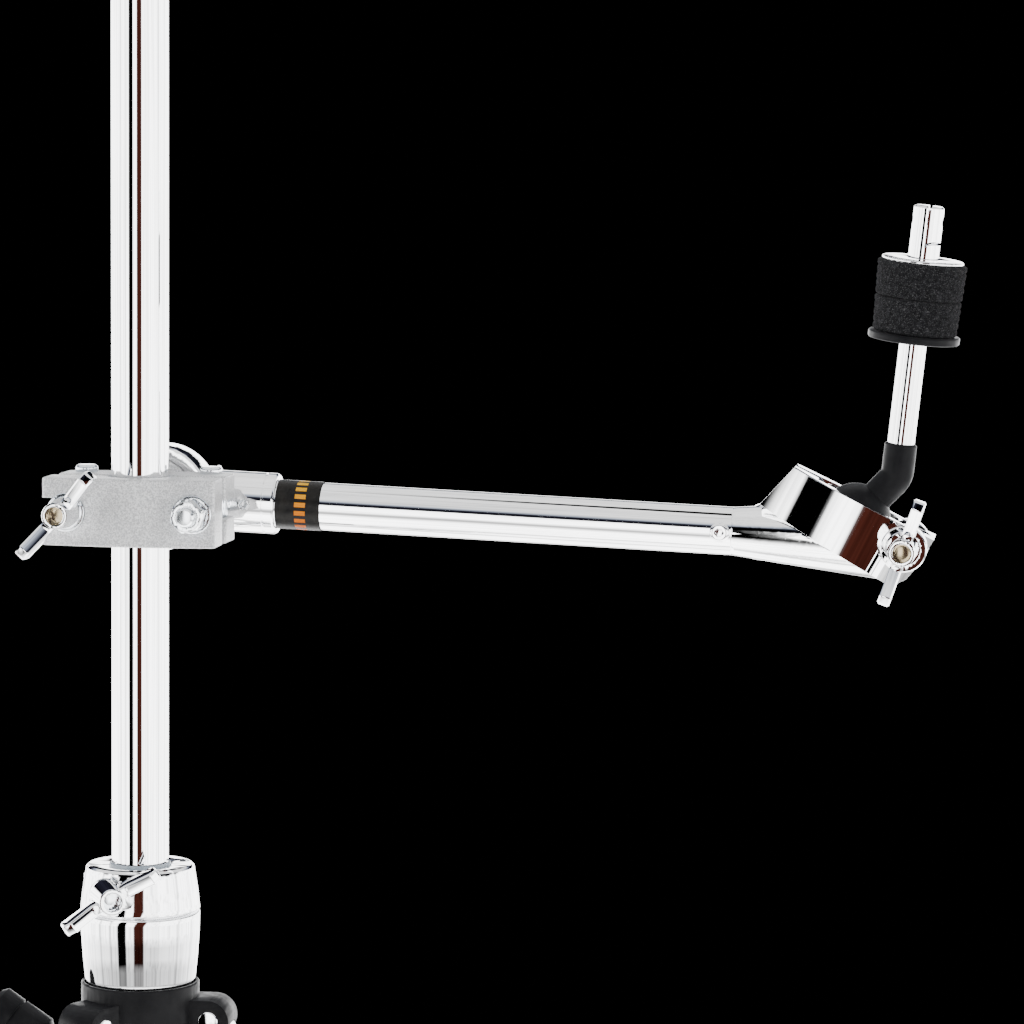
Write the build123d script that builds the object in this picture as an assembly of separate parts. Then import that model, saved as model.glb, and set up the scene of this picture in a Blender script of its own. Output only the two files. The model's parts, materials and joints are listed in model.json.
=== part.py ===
"""Cymbal boom stand: braced tripod base, height barrel, post, cast clamp, boom, tilter and cymbal rod.

Millimetres. Z up, floor at z = 0, the post stands on the Z axis and the boom points along +X.
"""
import os
from math import cos, radians, sin, sqrt

from build123d import *

os.makedirs("parts", exist_ok=True)

# fits
RUN = 0.05
GAP = 0.3

# post, base tube and barrel
POST_R = 12.7
POST_WALL = 1.5
POST_BOTTOM = 330.0
POST_TOP = 1090.0
BASE_R = 14.3
BASE_WALL = 1.2
BASE_BOTTOM = 70.0
BARREL_TOP = 575.0
BARREL_SEAM = 554.3
BARREL_BOTTOM = 520.0
BARREL_R_TOP = 23.9
BARREL_R_SEAM = 26.75
BARREL_R_BOTTOM = 24.5
BUSH_R = 13.9
HEIGHT_BOLT_Z = 564.9
HEIGHT_BOLT_OFFSET = 19.0
HEIGHT_BOLT_ANGLE = 23.0
HEIGHT_SEAT = 18.4
HEIGHT_SEAT_R = 8.3
HEIGHT_HEAD_SEAT = 9.0

# tripod
PIVOT_R = 33.0
PIVOT_Z = 506.0
LEG_AZIMUTHS = (0.0, 120.0, 240.0)
LEG_ANGLE = 29.0
LEG_LENGTH = 560.0
LEG_TUBE_R = 8.0
FOLD = 25.5
BRACE_LENGTH = 190.0
LUG_R = 9.4
TONGUE_R = 7.0
HUB_RIM_R = 26.5
HUB_CORE_R = 20.0
EAR_HALF = 10.0
TONGUE_HALF = 4.0

# fasteners
M8_R = 4.0
WING_HUB = 19.0
WING_REACH = 24.0

# clamp
CLAMP_Z = 734.5
JAW_HALF_X = 38.2
JOINT_Z = CLAMP_Z + 2.1
JAW_HALF_Z = 15.0
BOLT_X = 28.5
PIN_Y = 17.0
LINER_R = 15.2
FRONT_FACE_Y = -23.6

# boom
BOOM_Y = 40.3
BOOM_DROOP = 2.23
BOOM_R = 10.75
SOCKET_R = 13.75
SOCKET_START = 21.0
SOCKET_END = 54.6
BOOM_END = 261.3
DISC_R = 24.0
DISC_RECESS_R = 18.6
BAND_LENGTH = 20.4

# tilter and cymbal rod
CHEEK = 18.0
BALL_R = 15.8
BALL_U = 53.9
BALL_V = 9.0
TILTER_BOLT_U = 76.8
TILTER_BOLT_V = -1.5
ARM_R = 7.2
BEND = (18.3, 19.0)
ROD_LEAN = 6.0
ROD_FORWARD = 3.0
ARM_TOP = 15.0
SEAT_Z = 60.8
SEAT_THICK = 3.5
SEAT_R = 20.25
FELT_R = 20.2
FELT_FOOT_R = 19.0
FELT_HEIGHT = 31.5
TOP_POST_R = 6.7
TOP_POST_LENGTH = 23.2


def cyl(radius, length, origin=(0, 0, 0), direction=(0, 0, 1)):
    """Cylinder that starts at origin and runs along direction."""
    return Plane(origin=origin, z_dir=direction) * Cylinder(
        radius, length, align=(Align.CENTER, Align.CENTER, Align.MIN)
    )


def block(x, y, z):
    """Box between the low and high value on each axis."""
    size = (x[1] - x[0], y[1] - y[0], z[1] - z[0])
    return Pos(x[0], y[0], z[0]) * Box(*size, align=(Align.MIN, Align.MIN, Align.MIN))


def prism(points, plane, low, high):
    """Polygon drawn on a plane, extruded between two offsets along its normal."""
    face = make_face(Polyline(*points, close=True))
    return plane * Pos(0, 0, low) * extrude(face, high - low)


def ring_turn(points):
    """Turned piece on the Z axis from radius and height pairs."""
    face = make_face(Polyline(*[(r, 0, z) for r, z in points], close=True))
    return revolve(face, Axis.Z)


def save(name, *shapes):
    """Write one node, either a single solid or a group of separate solids."""
    solids = [s for shape in shapes for s in shape.solids()]
    item = solids[0] if len(solids) == 1 else Compound(children=solids)
    item.label = name
    export_step(item, f"parts/{name}.step")


# directions and frames
DROOP = radians(BOOM_DROOP)
U = Vector(cos(DROOP), 0, -sin(DROOP))
V = Vector(sin(DROOP), 0, cos(DROOP))
W = Vector(0, -1, 0)
BOOM = Plane(origin=(0, BOOM_Y, JOINT_Z), x_dir=U, z_dir=W)
TILTER = Plane(origin=BOOM.origin + U * BOOM_END, x_dir=U, z_dir=W)
BALL = TILTER.origin + U * BALL_U + V * BALL_V
BEND_POINT = BALL + Vector(BEND[0], 0, BEND[1])
ROD_DIR = Vector(sin(radians(ROD_LEAN)), -sin(radians(ROD_FORWARD)), 1).normalized()
ROD = Plane(origin=BEND_POINT, x_dir=Vector(ROD_DIR.Z, 0, -ROD_DIR.X), z_dir=ROD_DIR)


def wing_nut(origin, out, wing):
    """Die-cast wing nut with a tapered hub and two boxy wings."""
    frame = Plane(origin=origin, x_dir=wing, z_dir=out)
    hub = Cone(7.4, 5.7, WING_HUB, align=(Align.CENTER, Align.CENTER, Align.MIN))
    side = Plane(origin=(0, 0, 0), x_dir=(1, 0, 0), z_dir=(0, -1, 0))
    outline = ((2, 4), (8, 5), (WING_REACH, 11), (WING_REACH, 19.5), (20, 20.5), (8, 15), (2, 15))
    wing_right = prism(outline, side, -2.7, 2.7)
    wing_right = fillet(wing_right.edges().filter_by(Axis.Y), 1.2)
    wing_right = chamfer(wing_right.faces().filter_by(Axis.Y).edges(), 0.7)
    wings = wing_right + Rot(0, 0, 180) * wing_right
    nut = hub + wings - Cylinder(M8_R + RUN, 60)
    return frame * nut


def washer(outer, thick, origin, direction, hole=4.4):
    return cyl(outer, thick, origin, direction) - cyl(hole, thick, origin, direction)


def hex_prism(across_flats, height, origin, direction, x_dir=None):
    frame = Plane(origin=origin, x_dir=x_dir, z_dir=direction)
    body = extrude(RegularPolygon(across_flats / sqrt(3), 6), height)
    cap = Pos(0, 0, height / 2) * Cylinder(across_flats / 2 + 0.75, height)
    return frame * (body & chamfer(cap.edges(), 0.7))


# base


def radial(azimuth):
    a = radians(azimuth)
    return Vector(cos(a), sin(a), 0)


def base_tube():
    top = BARREL_SEAM - 6
    tube = cyl(BASE_R, top - BASE_BOTTOM, (0, 0, BASE_BOTTOM))
    return tube - cyl(BASE_R - BASE_WALL, top - BASE_BOTTOM, (0, 0, BASE_BOTTOM))


def base_plug():
    cap = cyl(BASE_R, 6, (0, 0, BASE_BOTTOM - 6))
    cap = chamfer(cap.edges().sort_by(Axis.Z)[0], 1.5)
    return cap + cyl(BASE_R - BASE_WALL, 24, (0, 0, BASE_BOTTOM))


def height_bolt_frame():
    """Line of the pinch bolt: it passes beside the post and points to the front."""
    a = radians(HEIGHT_BOLT_ANGLE)
    out = Vector(sin(a), -cos(a), 0)
    side = Vector(-cos(a), -sin(a), 0)
    return side * HEIGHT_BOLT_OFFSET + Vector(0, 0, HEIGHT_BOLT_Z), out, side


def barrel_collar():
    """Upper half of the barrel, with a pinch slot and a sunk seat at each end of the bolt."""
    mid, out, side = height_bolt_frame()
    body = ring_turn(
        ((0, BARREL_SEAM + 0.4), (BARREL_R_SEAM - 0.6, BARREL_SEAM + 0.4), (BARREL_R_SEAM, BARREL_SEAM + 1),
         (25.9, 563), (BARREL_R_TOP + 0.3, BARREL_TOP - 1), (BARREL_R_TOP - 0.7, BARREL_TOP), (0, BARREL_TOP))
    )
    body -= cyl(HEIGHT_SEAT_R, 20, mid + out * HEIGHT_SEAT, out)
    body -= cyl(6.6, 30, mid - out * HEIGHT_HEAD_SEAT, out * -1)
    body -= cyl(BUSH_R, 40, (0, 0, BARREL_SEAM - 5))
    body -= cyl(M8_R, 60, mid - out * 30, out)
    cut = Plane(origin=(0, 0, 0), x_dir=side, z_dir=(0, 0, 1))
    body -= cut * block((10, 40), (-0.7, 0.7), (BARREL_SEAM - 1, BARREL_TOP + 1))
    return body - cyl(2.2, 8, (17.5, 9, BARREL_TOP - 8))


def barrel_body():
    """Lower half of the barrel, seated on the hub and round the base tube."""
    body = ring_turn(
        ((0, BARREL_BOTTOM), (BARREL_R_BOTTOM - 0.8, BARREL_BOTTOM), (BARREL_R_BOTTOM, BARREL_BOTTOM + 1.2),
         (25.7, 533), (26.5, 544), (BARREL_R_SEAM, BARREL_SEAM - 1), (BARREL_R_SEAM - 0.6, BARREL_SEAM - 0.4),
         (24.4, BARREL_SEAM - 0.4), (24.4, BARREL_SEAM + 0.4), (0, BARREL_SEAM + 0.4))
    )
    body -= cyl(BASE_R, 28.3, (0, 0, BARREL_BOTTOM))
    return body - cyl(BUSH_R, 40, (0, 0, BARREL_BOTTOM + 28.3))


def barrel_bushing():
    """Nylon bush that guides the post."""
    low = BARREL_BOTTOM + 28.3
    bush = cyl(BUSH_R, BARREL_TOP + 0.8 - low, (0, 0, low))
    bush = chamfer(bush.edges().sort_by(Axis.Z)[-1], 0.5)
    return bush - cyl(POST_R + RUN, 60, (0, 0, low))


def height_bolt():
    """Square-head bolt that pinches the collar."""
    mid, out, side = height_bolt_frame()
    start = mid - out * (HEIGHT_HEAD_SEAT + 3.5)
    frame = Plane(origin=start, x_dir=side, z_dir=out)
    head = frame * block((-4.5, 4.5), (-4.5, 4.5), (0, 3.5))
    return head + cyl(M8_R, HEIGHT_HEAD_SEAT + HEIGHT_SEAT + 19.5, start, out)


def height_washer():
    mid, out, _ = height_bolt_frame()
    return washer(7.4, 1.6, mid + out * HEIGHT_SEAT, out, M8_R)


def height_wing_nut():
    mid, out, side = height_bolt_frame()
    wing = (side * -cos(radians(30)) + Vector(0, 0, sin(radians(30)))).normalized()
    return wing_nut(mid + out * (HEIGHT_SEAT + 1.8), out, wing)


def hinge_lug(azimuth, z, core, half):
    """Rounded hinge lug on a hub."""
    frame = lug_frame(azimuth, z)
    lug = frame * block((core - 6, PIVOT_R), (-LUG_R, LUG_R), (-half, half))
    return lug + frame * Pos(PIVOT_R, 0, -half) * cyl(LUG_R, 2 * half)


def lug_frame(azimuth, z):
    """Origin on the post's axis, x outwards, y up and z along the hinge pin."""
    r = radial(azimuth)
    return Plane(origin=(0, 0, z), x_dir=r, z_dir=r.cross(Vector(0, 0, 1)))


def tongue_pocket():
    """Room for a leg's tongue from spread to folded, open only outwards and downwards."""
    radius = TONGUE_R + GAP
    spread = radians(LEG_ANGLE)
    folded = radians(LEG_ANGLE - FOLD)
    outer = (radius * cos(spread), radius * sin(spread))
    inner = (-radius * cos(folded), -radius * sin(folded))
    reach = 45
    points = (
        inner,
        outer,
        (outer[0] + reach * sin(spread), outer[1] - reach * cos(spread)),
        (inner[0] + reach * sin(folded), inner[1] - reach * cos(folded)),
    )
    half = TONGUE_HALF + GAP
    return Pos(PIVOT_R, 0, 0) * (prism(points, Plane.XY, -half, half) + Pos(0, 0, -half) * cyl(radius, 2 * half))


def leg_hub():
    """Moulded upper hub with three forks, a rim round the barrel and a boss for the knob."""
    hub = ring_turn(((0, 462), (HUB_CORE_R, 462), (HUB_CORE_R, 497), (HUB_RIM_R - 0.8, 499), (HUB_RIM_R, 500),
                     (HUB_RIM_R, 521.4), (HUB_RIM_R - 0.6, 522), (0, 522)))
    for azimuth in LEG_AZIMUTHS:
        hub += hinge_lug(azimuth, PIVOT_Z, HUB_CORE_R, EAR_HALF)
    knob_origin, knob_dir = knob_line()
    hub += cyl(8, 16, knob_origin, knob_dir)
    hub -= cyl(BARREL_R_BOTTOM + 0.6, 10, (0, 0, BARREL_BOTTOM))
    hub -= cyl(BASE_R, 80, (0, 0, 450))
    for azimuth in LEG_AZIMUTHS:
        frame = lug_frame(azimuth, PIVOT_Z)
        hub -= frame * tongue_pocket()
        hub -= frame * Pos(PIVOT_R, 0, -15) * cyl(4.5, 30)
    return hub - cyl(4.5 + RUN, 60, knob_origin, knob_dir)


def knob_line():
    """Axis of the hub knob, rising outwards on the side away from the boom."""
    a = radians(33.5)
    return Vector(-17, 0, 472.4), Vector(-cos(a), 0, sin(a))


def hub_knob_stud():
    origin, direction = knob_line()
    return cyl(4.5, 52, origin + direction * 2, direction)


def hub_knob_grip():
    origin, direction = knob_line()
    grip = cyl(11.5, 28, origin + direction * 34.5, direction)
    grip = chamfer(grip.edges(), 2)
    grip -= washer(12, 1.2, origin + direction * 50.5, direction, 10.6)
    return grip - cyl(4.5, 19.5, origin + direction * 34.5, direction)


def hinge_pins():
    """Three hinge pins pressed in the ears of the upper hub."""
    pins = []
    for azimuth in LEG_AZIMUTHS:
        r = radial(azimuth)
        t = r.cross(Vector(0, 0, 1))
        pin = cyl(4.5, 21, r * PIVOT_R + Vector(0, 0, PIVOT_Z) - t * 10.5, t)
        pins.append(chamfer(pin.edges(), 0.4))
    return pins


def leg_frame(azimuth):
    """Origin at the leg's hinge, x outwards along the leg and z along the hinge pin."""
    r = radial(azimuth)
    a = radians(LEG_ANGLE)
    down = r * sin(a) - Vector(0, 0, cos(a))
    origin = r * PIVOT_R + Vector(0, 0, PIVOT_Z)
    return Plane(origin=origin, x_dir=down, z_dir=r.cross(Vector(0, 0, 1)))


def leg(azimuth):
    """Leg tube with a flattened tongue at the hinge."""
    tongue = block((0, 34), (-TONGUE_R, TONGUE_R), (-TONGUE_HALF, TONGUE_HALF))
    tongue += Pos(0, 0, -TONGUE_HALF) * cyl(TONGUE_R, 2 * TONGUE_HALF)
    body = tongue + cyl(LEG_TUBE_R, LEG_LENGTH - 60, (30, 0, 0), (1, 0, 0))
    body -= cyl(LEG_TUBE_R - 1.5, LEG_LENGTH, (44, 0, 0), (1, 0, 0))
    body -= Pos(0, 0, -20) * cyl(4.5 + RUN, 40)
    body -= Pos(BRACE_LENGTH, 0, -20) * cyl(3, 40)
    return leg_frame(azimuth) * body


def leg_foot(azimuth):
    """Rubber foot, cut flat where it stands on the floor."""
    start = LEG_LENGTH - 78
    foot = cyl(13, 96, (start, 0, 0), (1, 0, 0))
    foot = fillet(foot.edges(), 3)
    foot -= cyl(LEG_TUBE_R, 52, (start, 0, 0), (1, 0, 0))
    for step in range(4):
        foot -= cyl(14, 1.5, (start + 12 + 6 * step, 0, 0), (1, 0, 0)) - cyl(
            12, 1.5, (start + 12 + 6 * step, 0, 0), (1, 0, 0)
        )
    placed = leg_frame(azimuth) * foot
    return placed - block((-600, 600), (-600, 600), (-60, 0))


def leg_rivet(azimuth):
    """Rivet that joins the leg to its pair of brace straps."""
    shank = Pos(BRACE_LENGTH, 0, -12.6) * cyl(3, 25.2)
    head = Pos(BRACE_LENGTH, 0, 10.9) * cyl(5.5, 1.7)
    head = chamfer(head.edges().sort_by(Axis.Z)[-1], 1)
    return leg_frame(azimuth) * (shank + head + mirror(head, Plane.XY))


def brace(azimuth):
    """Two flat straps from the leg to the sliding collar, each with a rivet head at its lower end."""
    r = radial(azimuth)
    a = radians(LEG_ANGLE)
    down = r * -sin(a) - Vector(0, 0, cos(a))
    start = leg_frame(azimuth) * Pos(BRACE_LENGTH, 0, 0)
    frame = Plane(origin=start.position, x_dir=down, z_dir=r.cross(Vector(0, 0, 1)))
    strap = block((0, BRACE_LENGTH), (-6.5, 6.5), (8.35, 10.5))
    strap += Pos(0, 0, 8.35) * cyl(6.5, 2.15)
    strap += Pos(BRACE_LENGTH, 0, 8.35) * cyl(6.5, 2.15)
    strap -= cyl(3 + RUN, 20)
    head = Pos(BRACE_LENGTH, 0, 10.5) * cyl(4.5, 1.6)
    strap += chamfer(head.edges().sort_by(Axis.Z)[-1], 0.9)
    return frame * strap, frame * mirror(strap, Plane.XY)


def spread_collar_z():
    return PIVOT_Z - 2 * BRACE_LENGTH * cos(radians(LEG_ANGLE))


def spread_collar():
    """Moulded collar that slides on the base tube and spreads the braces."""
    z = spread_collar_z()
    collar = cyl(HUB_CORE_R, 30, (0, 0, z - 15))
    collar = chamfer(collar.edges(), 1)
    for azimuth in LEG_AZIMUTHS:
        collar += hinge_lug(azimuth, z, HUB_CORE_R, 8)
    boss = radial(60)
    collar += cyl(8, 9, boss * 16 + Vector(0, 0, z), boss)
    collar -= cyl(BASE_R + RUN, 60, (0, 0, z - 30))
    return collar - cyl(M8_R + RUN, 40, Vector(0, 0, z), boss)


def spread_screw():
    """Wing screw that locks the sliding collar."""
    z = spread_collar_z()
    out = radial(60)
    shank = cyl(M8_R, 14, out * (BASE_R + 0.2) + Vector(0, 0, z), out)
    base = out * 25.3 + Vector(0, 0, z)
    return shank, wing_nut_head(base, out)


def wing_nut_head(origin, out):
    """Wing head without a through hole."""
    return wing_nut(origin, out, out.cross(Vector(0, 0, 1))) + cyl(M8_R + RUN, WING_HUB - 4, origin, out)


# post


def post():
    length = POST_TOP - POST_BOTTOM
    return cyl(POST_R, length, (0, 0, POST_BOTTOM)) - cyl(POST_R - POST_WALL, length, (0, 0, POST_BOTTOM))


def post_cap():
    cap = fillet(cyl(POST_R, 4, (0, 0, POST_TOP)).edges().sort_by(Axis.Z)[-1], 2)
    return cap + cyl(POST_R - POST_WALL, 20, (0, 0, POST_TOP - 20))


# clamp


def clamp_liner():
    """Split plastic liner between the jaws and the post."""
    liner = cyl(LINER_R, 28, (0, 0, CLAMP_Z - 14)) - cyl(POST_R + RUN, 28, (0, 0, CLAMP_Z - 14))
    return liner - block((POST_R - 3, 20), (-1, 1), (CLAMP_Z - 20, CLAMP_Z + 20))


def jaw_block(points):
    """Cast jaw blank with softened corners and a half-round seat for the liner."""
    jaw = prism(points, Plane.XY, CLAMP_Z - JAW_HALF_Z, CLAMP_Z + JAW_HALF_Z)
    jaw = fillet(jaw.edges().filter_by(Axis.Z), 1.5)
    jaw = fillet(jaw.faces().filter_by(Axis.Z).edges(), 0.8)
    return jaw - cyl(LINER_R + RUN, 60, (0, 0, CLAMP_Z - 30))


def rear_jaw():
    """Jaw that carries the swing bolts and the round boss of the boom joint."""
    x = JAW_HALF_X
    jaw = jaw_block(((-x, 3), (x, 3), (x, 22), (x - 6, 26), (-x + 6, 26), (-x, 22)))
    boss = cyl(18.1, 9, (0, 24, JOINT_Z), (0, 1, 0))
    jaw += chamfer(boss.edges().sort_by(Axis.Y)[-1], 0.6)
    jaw -= cyl(LINER_R + RUN, 60, (0, 0, CLAMP_Z - 30))
    jaw -= hex_prism(13, 7, (0, 14, JOINT_Z), (0, 1, 0), (0, 0, 1))
    jaw -= cyl(M8_R, 40, (0, 14, JOINT_Z), (0, 1, 0))
    for side in (-1, 1):
        slot = sorted((side * 20.2, side * 40))
        jaw -= block(slot, (0, 30), (CLAMP_Z - 4.3, CLAMP_Z + 4.3))
        jaw -= cyl(3, 60, (side * BOLT_X, PIN_Y, CLAMP_Z - 30))
    return jaw


def front_jaw():
    """Outer jaw with shallow facets, an open slot on the left and a hole on the right."""
    x = JAW_HALF_X
    left = -x - 1.6
    outline = ((left, -3), (left, -19.6), (-22.2, -22), (-6, FRONT_FACE_Y), (11.5, FRONT_FACE_Y), (27.5, -22),
               (x, -20.2), (x, -3))
    jaw = jaw_block(outline)
    z = (CLAMP_Z - 6, CLAMP_Z + 6)
    slot = block((left - 5, -BOLT_X + 2), (-30, 0), z)
    slot += cyl(6, 40, (-BOLT_X + 2, -35, CLAMP_Z), (0, 1, 0)) & block((-60, 0), (-30, 0), z)
    jaw -= slot
    jaw -= cyl(4.6, 40, (BOLT_X, -35, CLAMP_Z), (0, 1, 0))
    for side in (-1, 1):
        jaw -= cyl(8.9, 10, (side * BOLT_X, -21.1, CLAMP_Z), (0, -1, 0))
    return jaw


def eye_bolt(side, end_y):
    """Swing bolt with a flat eye on the clamp pin."""
    eye = cyl(7.4, 8, (side * BOLT_X, PIN_Y, CLAMP_Z - 4))
    shank = cyl(M8_R, PIN_Y - end_y, (side * BOLT_X, PIN_Y, CLAMP_Z), (0, -1, 0))
    bolt = eye + chamfer(shank.edges().sort_by(Axis.Y)[0], 0.7)
    return bolt - cyl(3, 20, (side * BOLT_X, PIN_Y, CLAMP_Z - 10))


def clamp_pins():
    """Two rivet pins through the forks of the rear jaw, with domed heads on top."""
    pins = []
    for side in (-1, 1):
        at = (side * BOLT_X, PIN_Y)
        pin = cyl(3, 30, (*at, CLAMP_Z - JAW_HALF_Z))
        head = cyl(5, 3.2, (*at, CLAMP_Z + JAW_HALF_Z))
        head = fillet(head.edges().sort_by(Axis.Z)[-1], 1.6)
        pins.append(pin + head)
    return pins


def clamp_washers():
    return [washer(8.5, 1.6, (s * BOLT_X, -21.1, CLAMP_Z), (0, -1, 0)) for s in (-1, 1)]


def clamp_nut():
    """Tall hexagon nut on the right bolt."""
    nut = hex_prism(13, 12.5, (BOLT_X, -22.7, CLAMP_Z), (0, -1, 0), (0.2, 0, 0.98))
    return nut - cyl(M8_R + RUN, 30, (BOLT_X, -15, CLAMP_Z), (0, -1, 0))


def clamp_wing_nut():
    a = radians(49)
    return wing_nut(Vector(-BOLT_X, -22.9, CLAMP_Z), Vector(0, -1, 0), Vector(cos(a), 0, sin(a)))


def boom_pivot_bolt():
    """Bolt through the round joint, held by its hexagon head in the rear jaw."""
    head = hex_prism(13, 5.3, (0, 15.6, JOINT_Z), (0, 1, 0), (0, 0, 1))
    shank = cyl(M8_R, 50, (0, 20, JOINT_Z), (0, 1, 0))
    return head + chamfer(shank.edges().sort_by(Axis.Y)[-1], 0.7)


def boom_washer():
    return washer(9.5, 1.6, (0, 52.7, JOINT_Z), (0, 1, 0), M8_R + RUN)


def boom_wing_nut():
    a = radians(25)
    return wing_nut(Vector(0, 54.5, JOINT_Z), Vector(0, 1, 0), Vector(cos(a), 0, sin(a)))


# boom


def boom_socket():
    """Cast disc of the boom joint and the socket that takes the boom tube."""
    disc = Pos(0, 0, -12.2) * cyl(DISC_R, 22.5)
    disc = chamfer(disc.edges(), 0.8)
    socket = cyl(SOCKET_R, SOCKET_END - 5.5, (0, 0, 0), (1, 0, 0))
    socket += cyl(SOCKET_R - 0.6, 6, (SOCKET_END - 6, 0, 0), (1, 0, 0))
    ring = cyl(SOCKET_R, 4.6, (SOCKET_END - 4.6, 0, 0), (1, 0, 0))
    socket += chamfer(ring.edges().sort_by(Axis.X)[-1], 0.9)
    body = disc + (socket & block((SOCKET_START, 60), (-20, 20), (-20, 20)))
    body -= Pos(0, 0, 7.3) * cyl(DISC_RECESS_R, 20)
    body -= cyl(BOOM_R, 40, (30, 0, 0), (1, 0, 0))
    body -= Pos(0, 0, -20) * cyl(M8_R + GAP, 40)
    body -= Pos(41.4, 0, 8) * cyl(2.5, 10)
    return BOOM * body


def socket_screw():
    """Set screw in the front of the socket, sunk below its face."""
    screw = Pos(41.4, 0, 10.85) * (cyl(2.5, 2.2) - Pos(0, 0, 1.0) * extrude(RegularPolygon(1.4, 6), 2))
    return BOOM * screw


def boom_tube():
    tube = cyl(BOOM_R, BOOM_END - 30, (30, 0, 0), (1, 0, 0))
    tube -= cyl(BOOM_R - 1.4, BOOM_END - 30, (30, 0, 0), (1, 0, 0))
    tube -= Pos(256.2, 0, 0) * cyl(2.5, 20)
    return BOOM * tube


def boom_band():
    """Thin sleeve round the boom next to the socket."""
    start = (SOCKET_END + 0.3, 0, 0)
    band = cyl(BOOM_R + 0.35, BAND_LENGTH, start, (1, 0, 0)) - cyl(BOOM_R, BAND_LENGTH, start, (1, 0, 0))
    return BOOM * band


def boom_screw():
    """Button-head screw that holds the tilter in the boom tube."""
    head = Pos(256.2, 0, BOOM_R - 0.7) * cyl(4.5, 2.6)
    head = fillet(head.edges().sort_by(Axis.Z)[-1], 1.6)
    screw = head + Pos(256.2, 0, 5) * cyl(2.5, 6)
    screw -= Pos(256.2, 0, BOOM_R + 0.1) * extrude(RegularPolygon(1.75, 6), 4)
    return BOOM * (screw - cyl(BOOM_R, 30, (240, 0, 0), (1, 0, 0)) + Pos(256.2, 0, 5) * cyl(2.5, 6))


# tilter

OUTLINE = ((9, 11.6), (11, 12.3), (26.5, 30.7), (89.5, 2.2), (81.3, -11.9), (78.3, -15.8),
           (74.5, -17.6), (68.7, -17.8), (9, -11.9))
LOWER = ((-1, 20), (14, 20), (14, 30), (89.5, 2.2), (81.3, -11.9), (78.3, -15.8), (74.5, -17.6),
         (68.7, -17.8), (0, -11), (-1, -11))
PARTING = ((5, 17.4), (110, -39.9), (110, 45), (5, 45))
CHEEK_CURVE = 91.0
CHEEK_LEAN = 24.3


def cheek_curve(side):
    """Large drum that gives the cheek on one side its curved face."""
    a = radians(CHEEK_LEAN)
    along = Vector(sin(a), cos(a), 0)
    start = Vector(50, 6, side * (CHEEK - CHEEK_CURVE)) - along * 60
    return cyl(CHEEK_CURVE, 120, start, along)


def tilter_hollows():
    """Ball seat, slot for the arm and bore of the clamping bolt."""
    hollow = Pos(BALL_U, BALL_V, 0) * Sphere(BALL_R + GAP)
    reach = 60
    fan = [(BALL_U, BALL_V)]
    for angle in range(-6, 136, 47):
        a = radians(angle)
        fan.append((BALL_U + reach * cos(a), BALL_V + reach * sin(a)))
    hollow += prism(fan, Plane.XY, -8, 8)
    hollow += Pos(BALL_U, BALL_V, -8) * cyl(13.5, 16)
    return hollow + Pos(TILTER_BOLT_U, TILTER_BOLT_V, -30) * cyl(M8_R, 60)


def tilter_body():
    """Rear cheek, rounded lower half and the spigot that enters the boom tube."""
    lower = loft([
        Plane.YZ * Circle(BOOM_R),
        Plane.YZ.offset(35) * Ellipse(14, 14.4),
        Plane.YZ.offset(90) * Ellipse(17.6, 19),
    ])
    lower &= prism(LOWER, Plane.XY, -17.8, 17.8)
    lower -= prism(PARTING, Plane.XY, -0.25, 40)
    rear = prism(OUTLINE, Plane.XY, -CHEEK - 2, -0.25) & cheek_curve(-1)
    rear += Pos(TILTER_BOLT_U, TILTER_BOLT_V, -CHEEK) * cyl(10.2, 10)
    body = lower + rear + cyl(BOOM_R - 1.4, 30, (-29, 0, 0), (1, 0, 0))
    body -= tilter_hollows()
    body -= Pos(-5.1, 0, 4.9) * cyl(2.5, 10)
    body -= Pos(TILTER_BOLT_U, TILTER_BOLT_V, -CHEEK - 2) * block((-5, 5), (-5, 5), (0, 4.5))
    return TILTER * body


def tilter_cap():
    """Front cheek that the wing nut pulls against the ball."""
    cap = prism(OUTLINE, Plane.XY, 0, CHEEK + 2) & cheek_curve(1)
    cap &= prism(PARTING, Plane.XY, 0.25, 40)
    cap += Pos(TILTER_BOLT_U, TILTER_BOLT_V, CHEEK - 8) * chamfer(cyl(10.2, 11.5).edges(), 0.5)
    return TILTER * (cap - tilter_hollows())


def tilter_bolt():
    """Square-neck bolt that clamps the cap."""
    at = Pos(TILTER_BOLT_U, TILTER_BOLT_V, 0)
    head = at * Pos(0, 0, -CHEEK - 2) * block((-5, 5), (-5, 5), (0, 4.5))
    dome = at * Pos(0, 0, -CHEEK - 3.4) * cyl(7.5, 3.4)
    dome = fillet(dome.edges().sort_by(Axis.Z)[0], 2)
    shank = at * Pos(0, 0, -CHEEK) * cyl(M8_R, 2 * CHEEK + 20)
    return TILTER * (head + dome + shank)


def tilter_wing_nut():
    at = TILTER.origin + U * TILTER_BOLT_U + V * TILTER_BOLT_V + W * (CHEEK + 3.7)
    a = radians(71)
    return wing_nut(at, W, Vector(cos(a), 0, sin(a)))


# cymbal rod


def ball_arm():
    """Moulded ball with the elbow that holds the rod."""
    path = FilletPolyline(BALL, BEND_POINT, BEND_POINT + ROD_DIR * ARM_TOP, radius=9)
    start = Plane(origin=BALL, z_dir=(BEND_POINT - BALL).normalized())
    arm = sweep(start * Circle(ARM_R), path=path)
    arm = chamfer(arm.faces().sort_by(Axis.Z)[-1].edges(), 0.8)
    ball = Pos(*BALL) * Sphere(BALL_R)
    return ball + arm - ROD * cyl(6, 40, (0, 0, 4))


def cymbal_rod():
    """Chrome rod with a thinner stud that carries the cymbal seat."""
    rod = cyl(6, SEAT_Z - 4, (0, 0, 4))
    return ROD * (rod + cyl(M8_R, 34, (0, 0, SEAT_Z)))


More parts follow.
